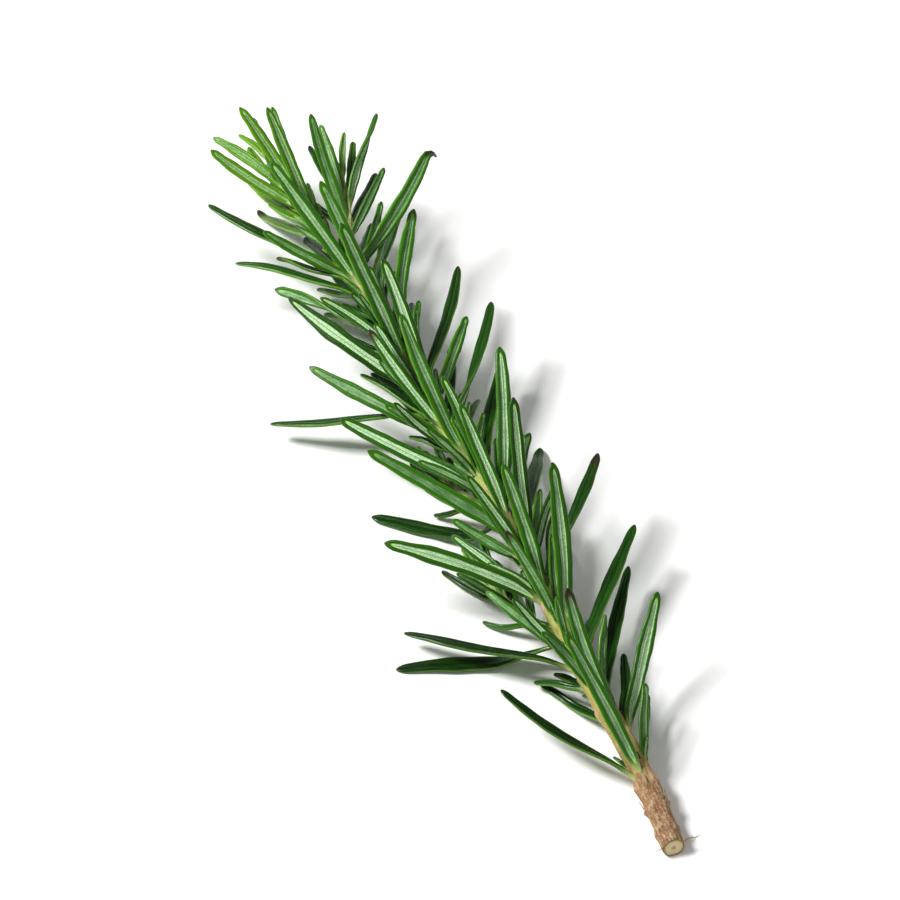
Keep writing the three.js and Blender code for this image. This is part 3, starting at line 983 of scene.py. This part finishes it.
# The woody base: rough bark with leaf scars, and the slanting cut face with its pith.
barkLook = {
    "around": 84, "step": 0.13, "end": 11.7,
    "fissure": 0.13, "fissureNoise": [3.4, 0.22, 7, 3], "fissureLevel": 0.35, "fissureDepth": 2.2,
    "grain": 0.05, "grainNoise": [7, 1.6, 1, 9], "grainFractal": [0.8, 2.1, 4],
    "knotSpan": 0.9, "scarAzimuth": 118,
    # height, how far above its knot, and how far it reaches along the stem
    "scar": [0.3, 0.2, 0.42], "pit": [-0.18, 0.75, 0.25],
    "edge": 10.75, "edgeOver": 0.45, "edgeWander": 0.5, "edgeNoise": [4, 2, 1], "edgeDrop": 0.4,
    "bevel": 0.12, "bevelOver": 0.5, "faceRough": 0.05, "faceNoise": [9, 3],
    "faceRings": [0.08, 0.16, 0.26, 0.4, 0.55, 0.7, 0.82, 0.9, 0.955],
    "pith": 0.24, "pithDepth": 0.16, "pithEdge": [0.6, 1.2], "slopeOver": 1.35,
}


# A place in the noise: how fine it is around and along the stem, and its own stretch of the noise.
def barkSpot(side, s, fine, lengthwise, across, up):
    return side * fine + Vector((across, lengthwise * s, up))


def barkRelief(s, angles):
    relief = []
    for angle in angles:
        height = 0
        for turn, knot in enumerate(woody["knots"]):
            lobe = max(0, math.cos(2 * (angle - radians(barkLook["scarAzimuth"] + 90 * turn)))) ** 3
            height += woody["knotSwell"] * math.exp(-(((s - knot) / barkLook["knotSpan"]) ** 2))
            for rise, above, span in (barkLook["scar"], barkLook["pit"]):
                height += rise * lobe * math.exp(-(((s - knot - above) / span) ** 2))
        side = Vector((math.cos(angle), 0, math.sin(angle)))
        fissures = noise.noise(barkSpot(side, s, *barkLook["fissureNoise"]))
        height += barkLook["fissure"] * (barkLook["fissureLevel"] - abs(fissures) * barkLook["fissureDepth"])
        grain = noise.fractal(barkSpot(side, s, *barkLook["grainNoise"]), *barkLook["grainFractal"])
        height += barkLook["grain"] * grain
        relief.append(height)
    return np.array(relief)


def woodyBase(material):
    look, angles = barkLook, ringAngles(barkLook["around"])
    edge = look["edge"] + look["edgeWander"] * ringNoise(angles, *look["edgeNoise"])
    places = np.arange(0, look["end"], look["step"])
    rings, local = [], []
    for s in places:
        place = stemFrame(s)
        radius = place["radius"] + barkRelief(s, angles)
        radius += stemLook["ridge"] * ridgeBelow(leafPairs[0], s, angles)
        radius -= look["edgeDrop"] * eased(edge, edge + look["edgeOver"], s)
        radius -= look["bevel"] * max(0, 1 - s / look["bevelOver"]) ** 2
        ring = np.array(place["origin"]) + ringWays(place, angles) * radius[:, None]
        slope = woody["cutSlope"] * max(0, 1 - s / look["slopeOver"])
        ring[:, 1] += slope * (ring[:, 2] - stem["seatHeight"])
        ring[:, 2] = np.maximum(ring[:, 2], 0)
        rings.append(ring)
        local.append(ringPlace(angles, radius, s))
    centre = rings[0].mean(axis=0)
    face, faceLocal = [], []
    for share in look["faceRings"]:
        ring = centre + (rings[0] - centre) * share
        ring[:, 1] += look["pithDepth"] * (1 - eased(*look["pithEdge"], share / look["pith"]))
        ring[:, 1] += look["faceRough"] * share * ringNoise(angles, share, *look["faceNoise"])
        face.append(ring)
        faceLocal.append(local[0] * share)
    count = len(face)
    skin = Skin(1, 1)
    skin.tube(np.array(face + rings), cutFace=np.repeat([1, 0], [count, len(rings)])[:, None],
              radial=np.concatenate([look["faceRings"], np.ones(len(rings))])[:, None],
              reach=np.concatenate([np.zeros(count), places / stem["length"]])[:, None],
              place=np.array(faceLocal + local))
    return skin.piece("woody_base_bark", material, "woody_base", "bark")


# Fine white hairs, each a thin closed spike that stands out of the stem.
hairs = {
    "main": 4200, "from": 17, "step": 0.5, "untilTip": 1,
    "shoot": 420, "shootSpan": [0.05, 0.97], "shootPlaces": 60, "length": [0.3, 0.75], "radius": 0.026,
    "profile": [[0, 1], [0.6, 0.7], [1, 0.15]],    # share of the length and of the radius
    "lean": [0.1, 1.0], "sideways": 0.35, "sunk": 0.97, "slip": [-0.25, 0.25], "lowest": 0.02,
}


def hairPiece(name, frames, count, seed, material, node, slot):
    rng = np.random.default_rng(seed)
    columns = math.ceil(math.sqrt(count))
    skin = Skin(columns, columns)
    corners = ringAngles(3)[:, None]
    for _ in range(count):
        place = frames[int(rng.integers(len(frames)))]
        angle = rng.uniform(0, 360)
        out, side = (np.array(around(place, angle + turn)) for turn in (0, 90))
        forward = np.array(place["forward"])
        way = units(out + forward * rng.uniform(*hairs["lean"]) + side * rng.normal() * hairs["sideways"])
        root = np.array(place["origin"]) + out * place["radius"] * hairs["sunk"]
        root = root + forward * rng.uniform(*hairs["slip"])
        first = units(np.cross(way, side))
        ring = (np.cos(corners) * np.cross(way, first) - np.sin(corners) * first) * hairs["radius"]
        length = rng.uniform(*hairs["length"])
        rings = np.array([root + way * length * share + ring * thick for share, thick in hairs["profile"]])
        if rings[..., 2].min() > hairs["lowest"]:
            skin.tube(rings, tone=rng.uniform())
    return skin.piece(name, material, node, slot)


# Torn fibres and dry scales on the woody base: place along it, degrees around it, and half the width
# and thickness. They stand out by the spread in degrees, and bend on from there.
shreds = [
    {"s": 0.9, "azimuth": -20, "length": 5.2, "width": 0.1, "thick": 0.09, "spread": 62, "bend": 40},
    {"s": 0.5, "azimuth": 12, "length": 3.6, "width": 0.09, "thick": 0.08, "spread": 96, "bend": -30},
    {"s": 1.6, "azimuth": -52, "length": 2.6, "width": 0.08, "thick": 0.07, "spread": 55, "bend": 25},
    {"s": 0.3, "azimuth": 160, "length": 2.2, "width": 0.1, "thick": 0.08, "spread": 120, "bend": -20},
    {"s": 3.3, "azimuth": 118, "length": 2.3, "width": 0.55, "thick": 0.12, "spread": 24, "bend": -26},
    {"s": 8.0, "azimuth": 28, "length": 3.4, "width": 0.6, "thick": 0.12, "spread": 22, "bend": -20},
    {"s": 8.3, "azimuth": 64, "length": 2.4, "width": 0.4, "thick": 0.1, "spread": 36, "bend": 30},
    {"s": 8.1, "azimuth": 205, "length": 3.0, "width": 0.5, "thick": 0.12, "spread": 20, "bend": -16},
    {"s": 12.2, "azimuth": 108, "length": 2.8, "width": 0.5, "thick": 0.12, "spread": 18, "bend": -12},
]
shredLook = {"stations": 12, "around": 10, "sunk": 0.14, "curl": 0.12, "lowest": 0.03}


def shredPiece(material):
    look, skin = shredLook, Skin(3, 3)
    angles = ringAngles(look["around"])
    share = np.linspace(0, 1, look["stations"])
    taper = np.sqrt(np.clip(1 - share ** 3, 0.02, 1))
    taper = taper * (0.6 + 0.4 * np.sin(math.pi * np.minimum(share * 1.6, 1)))
    for number, plan in enumerate(shreds):
        place = stemFrame(plan["s"])
        out, side = (np.array(around(place, plan["azimuth"] + turn)) for turn in (0, 90))
        lean = np.radians(plan["spread"] + plan["bend"] * share)[:, None]
        ways = np.array(place["forward"]) * np.cos(lean) + out * np.sin(lean)
        steps = np.concatenate([[[0, 0, 0]], ways[:-1]]).cumsum(axis=0) * plan["length"] / (len(share) - 1)
        curl = look["curl"] * plan["length"] * (np.sin(5 * share + number) * share)[:, None]
        spine = np.array(place["origin"]) + out * (place["radius"] - look["sunk"]) + steps + side * curl
        inner = np.cross(ways, side)
        section = (side * (np.cos(angles) * plan["width"])[None, :, None]
                   - inner[:, None] * (np.sin(angles) * plan["thick"])[None, :, None])
        rings = spine[:, None] + section * taper[:, None, None]
        rings[..., 2] = np.maximum(rings[..., 2], look["lowest"])
        local = np.stack([ringPlace(angles, np.ones(len(angles)), 40 + 7 * number + plan["length"] * part)
                          for part in share])
        skin.tube(rings, reach=0.02, radial=1, cutFace=0, dry=1, place=local)
    return skin.piece("woody_base_shreds", material, "woody_base", "bark")


leafLook = {
    "dark": screen(10, 42, 3), "bright": screen(48, 108, 6), "young": screen(132, 176, 30),
    # The colours of the leaf's edge and of the felt's edges are painted highlights.
    "margin": screen(68, 132, 10), "paintedEdgeHighlight": screen(136, 190, 56), "lip": screen(190, 236, 140),
    # The felt's second colour is the felt as it looks in shade: painted shade.
    "felt": screen(206, 238, 192), "feltInPaintedShade": screen(84, 136, 64), "youngFelt": screen(138, 180, 86),
    "dots": screen(60, 102, 46), "rib": screen(124, 150, 122), "stalk": screen(196, 206, 138),
    "scorch": screen(56, 34, 30),
    "gloss": 0.32, "feltRoughness": 0.34, "relief": 0.00014,
}


def leafMaterial(name):
    material, paint = newPaint(name)
    look = leafLook
    side, height, reach, cover = (paint.attribute(key) for key in ("side", "height", "reach", "felt"))
    tone, shift, youth = (paint.attribute(key) for key in ("tone", "shift", "youth"))
    place = paint.attribute("place", "Vector")
    streaks = place.stretched(4, 0.22, 1).noise(1)
    mottle = place.stretched(1, 0.4, 1).noise(0.9, 2)
    fuzz = place.noise(7, 2, 0.7)
    dots = 1 - (place.stretched(1.3, 1, 1).cells(2.3, 1) + (fuzz - 0.5) * 0.5).step(0.08, 0.38)
    middle = abs(side)
    # painted shade: the groove down the middle of the upper face is darkened
    paintedGrooveShade = (1 - middle.step(0.02, 0.16)) * height.step(0.1, 0.4)
    green = paint.mix(look["dark"], look["bright"], youth * 0.5 + tone * 0.6 + streaks * 0.9 - 0.5)
    green = green.under(look, [
        ("young", youth.step(0.5, 1.1) * 0.72),
        ("margin", (1 - height.step(-0.6, 0.25)) * (0.25 + shift * 0.45)),
        ("dark", paintedGrooveShade * 0.7),
        # painted highlight: a bright line along the leaf's edge
        ("paintedEdgeHighlight", middle.step(0.88, 1) * (0.2 + shift * 0.4)),
    ])
    felt = (cover + (fuzz - 0.5) * 0.5).step(0.25, 0.75)
    # the felt's lit and shaded colours, mixed at random over leaves and patches: painted shade on some of
    # them
    pale = paint.mix(look["felt"], look["feltInPaintedShade"], mottle * 0.9 + shift * 0.95 - 0.62)
    pale = pale.under(look, [
        ("youngFelt", youth.step(0.4, 1) * 0.6),
        ("dots", dots * (0.2 + mottle * 0.45) * 0.75),
        ("rib", (1 - middle.step(0.02, 0.08)) * 0.75),
    ])
    burnt = paint.attribute("scorch") * (reach + (mottle - 0.5) * 0.12).step(0.86, 0.97)
    colour = paint.mix(green, pale, felt * 0.94).under(look, [
        # painted highlight: a bright line along each edge of the felt
        ("lip", cover.step(0.1, 0.5) * (1 - cover.step(0.5, 0.95)) * (1 - shift * 0.6)),
        ("stalk", paint.attribute("stalk") * 0.85),
        ("scorch", burnt + reach.step(0.975, 1) * 0.45),
    ])
    wrinkles = place.stretched(2.6, 1.5, 1).noise(1, 4, 0.6)
    relief = wrinkles * (1 - felt) + (fuzz * 0.8 - dots * 0.5) * felt + streaks * 0.5
    surface(paint, Base_Color=colour, Normal=relief.bumped(look["relief"], 0.85), Specular_IOR_Level=0.22,
            Roughness=look["gloss"] + felt * look["feltRoughness"] + (mottle - 0.5) * 0.16,
            Coat_Weight=(1 - felt) * (0.14 + mottle * 0.34), Coat_Roughness=0.19,
            Subsurface_Weight=0.12, Subsurface_Radius=(0.4, 1, 0.25), Subsurface_Scale=0.0006)
    return material


# The stem and the bark share one finish, so that one passes into the other.
stemPaint = {
    "stops": [[0.05, (164, 134, 94)], [0.11, (176, 156, 92)], [0.2, (184, 174, 92)], [0.34, (184, 188, 100)],
              [0.55, (178, 196, 110)], [1, (170, 208, 104)]],
    "fleck": screen(112, 84, 50), "node": screen(202, 162, 138), "ridge": screen(132, 160, 62),
    "streak": screen(104, 98, 46), "hair": screen(222, 226, 198), "barkUntil": [0.058, 0.125],
    "brown": screen(150, 116, 84), "pale": screen(206, 180, 142), "dark": screen(78, 54, 40),
    "pink": screen(182, 130, 108), "flake": screen(226, 208, 172), "dry": screen(196, 176, 136),
    "face": [[0, (206, 178, 132)], [0.2, (216, 190, 146)], [0.28, (244, 228, 188)], [0.7, (236, 218, 174)],
             [0.84, (206, 186, 130)], [0.92, (166, 158, 98)], [0.97, (124, 92, 66)]],
    "relief": 0.00026,
}


def stemMaterial(name):
    material, paint = newPaint(name)
    look = stemPaint
    reach, place = paint.attribute("reach"), paint.attribute("place", "Vector")
    swollen, ridged = paint.attribute("swollen"), paint.attribute("ridged")
    radial, cut = paint.attribute("radial"), paint.attribute("cutFace")
    streaks = place.stretched(2.8, 0.24, 2.8).noise(1, 4)
    down = place.stretched(1, 0.4, 1).noise(7, 2, 0.7)
    patches = place.stretched(1, 0.35, 1).noise(0.9, 3)
    grain = place.stretched(1.7, 0.32, 1.7).noise(1, 5, 0.65)
    flecks = place.stretched(1, 0.6, 1).noise(3.2, 4, 0.7)
    fine = place.noise(9, 3, 0.6)
    flakes = place.stretched(1, 0.5, 1).noise(1.7, 4, 0.6)
    rays = place.stretched(1, 0.1, 1).noise(3.5, 3, 0.7)
    green = (reach + (streaks - 0.5) * 0.14).ramp(look["stops"]).under(look, [
        ("ridge", ridged.step(0.1, 0.9) * reach.step(0.12, 0.5) * 0.6),
        ("streak", streaks.step(0.48, 0.68) * 0.6),
        ("fleck", (1 - flecks.step(0.3, 0.46)) * (0.75 - reach * 0.45)),
        ("node", swollen.step(0.15, 0.8) * (1 - reach.step(0.5, 1) * 0.7) * 0.8),
        ("hair", down.step(0.52, 0.7) * (0.12 + reach * 0.45)),
    ])
    bark = paint.mix(look["brown"], look["pink"], patches.step(0.42, 0.62) * 0.7).under(look, [
        ("pale", grain.step(0.42, 0.68) * 0.85),
        ("flake", flakes.step(0.52, 0.64) * 0.55),
        ("dark", (1 - flecks.step(0.33, 0.52)) * 0.7),
    ])
    barked = 1 - (reach + (patches - 0.5) * 0.07).step(*look["barkUntil"])
    colour = paint.mix(green, bark, barked * 0.94)
    colour = paint.mix(colour, look["dry"], paint.attribute("dry") * (0.45 + flecks * 0.5))
    colour = paint.mix(colour, (radial + (rays - 0.5) * 0.14).ramp(look["face"]), cut.step(0.3, 0.7))
    relief = (streaks + down * 0.45) * (1 - barked) + (grain + flecks * 0.6 + fine * 0.4) * barked
    surface(paint, Base_Color=colour, Normal=relief.bumped(look["relief"], 0.95), Specular_IOR_Level=0.35,
            Roughness=0.6 + barked * 0.18 + (down - 0.5) * 0.3,
            Subsurface_Weight=0.08, Subsurface_Radius=(0.6, 1, 0.3), Subsurface_Scale=0.0005)
    return material


def hairMaterial(name):
    material, paint = newPaint(name)
    colour = paint.mix(screen(224, 230, 206), screen(250, 252, 244), paint.attribute("tone"))
    surface(paint, Base_Color=colour, Roughness=0.7)
    return material


foliage, youngFoliage = leafMaterial("rosemary_leaf"), leafMaterial("rosemary_young_leaf")
greenStem, bark = stemMaterial("rosemary_stem"), stemMaterial("rosemary_bark")
whiteHair = hairMaterial("rosemary_hair")

woodyBase(bark)
shredPiece(bark)
mainStem(greenStem)
hairPlaces = np.arange(hairs["from"], stem["length"] - hairs["untilTip"], hairs["step"])
stemFrames = [stemFrame(s) for s in hairPlaces]
hairPiece("stem_hairs", stemFrames, hairs["main"], 5, whiteHair, "leafy_stem", "foliage")
leafPiece("axil_buds", growBuds(), 18, 9, youngFoliage, "leafy_stem", "foliage")
mainLeaves = [leaf for leaf in grown["leafy_stem"]["leaves"] if leaf["kind"] == "main"]
axilLeaves = [leaf for leaf in grown["leafy_stem"]["leaves"] if leaf["kind"] == "axil"]
leafPiece("main_leaves", mainLeaves, 15, 4, foliage, "leafy_stem", "foliage")
leafPiece("axil_leaves", axilLeaves, 20, 5, foliage, "leafy_stem", "foliage")
for node in ("side_shoot_1", "side_shoot_2", "side_shoot_3"):
    shootStem(node, greenStem)
    shares = np.linspace(*hairs["shootSpan"], hairs["shootPlaces"])
    shootFrames = [shootFrame(grown[node]["core"], share) for share in shares]
    hairPiece(node + "_hairs", shootFrames, hairs["shoot"], 6, whiteHair, node, "young_foliage")
    leafPiece(node + "_leaves", grown[node]["leaves"], 6, 2, youngFoliage, node, "young_foliage")


stage = {
    "floor": screen(250, 250, 249), "floorSize": 3.0,
    "sky": (1, 1, 1), "skyStrength": 0.3,
    "lamps": [
        {"place": (-0.96, 0.65, 1.34), "size": 0.45, "power": 31.5},
        {"place": (0.6, -0.5, 0.7), "size": 0.9, "power": 0.7},
    ],
    "azimuth": -24.6, "elevation": 51, "distance": 1.0, "lens": 218,
}


def layFloor():
    half = stage["floorSize"] / 2
    mesh = bpy.data.meshes.new("floor")
    corners = [(-half, -half, 0), (half, -half, 0), (half, half, 0), (-half, half, 0)]
    mesh.from_pydata(corners, [], [(0, 1, 2, 3)])
    material, paint = newPaint("floor_paint")
    surface(paint, Base_Color=stage["floor"], Roughness=0.7)
    mesh.materials.append(material)
    floor = bpy.data.objects.new("floor", mesh)
    bpy.context.scene.collection.objects.link(floor)


def lightScene(centre):
    world = bpy.data.worlds.new("soft_sky")
    bpy.context.scene.world = world
    world.use_nodes = True
    world.node_tree.nodes.clear()
    paint = Wire(world.node_tree)
    colour = (*stage["sky"], 1)
    sky = paint.node("ShaderNodeBackground", None, {"Color": colour, "Strength": stage["skyStrength"]})
    paint.node("ShaderNodeOutputWorld", None, {"Surface": sky})
    for number, lamp in enumerate(stage["lamps"]):
        light = bpy.data.lights.new(f"lamp_{number}", "AREA")
        light.size, light.energy = lamp["size"], lamp["power"]
        made = bpy.data.objects.new(f"lamp_{number}", light)
        made.location = centre + Vector(lamp["place"])
        made.rotation_euler = (-Vector(lamp["place"])).to_track_quat("-Z", "Y").to_euler()
        bpy.context.scene.collection.objects.link(made)


def placeCamera(centre):
    azimuth, elevation = math.radians(stage["azimuth"]), math.radians(stage["elevation"])
    back = Vector((math.sin(azimuth) * math.cos(elevation), -math.cos(azimuth) * math.cos(elevation),
                   math.sin(elevation)))
    data = bpy.data.cameras.new("camera")
    data.lens = stage["lens"]
    camera = bpy.data.objects.new("camera", data)
    camera.location = centre + back * stage["distance"]
    camera.rotation_euler = (-back).to_track_quat("-Z", "Y").to_euler()
    bpy.context.scene.collection.objects.link(camera)
    bpy.context.scene.camera = camera


middle = (cadBounds[0] + cadBounds[1]) / 2
layFloor()
lightScene(middle)
placeCamera(middle)
view = bpy.context.scene.view_settings
view.view_transform, view.look = "Standard", "Medium High Contrast"
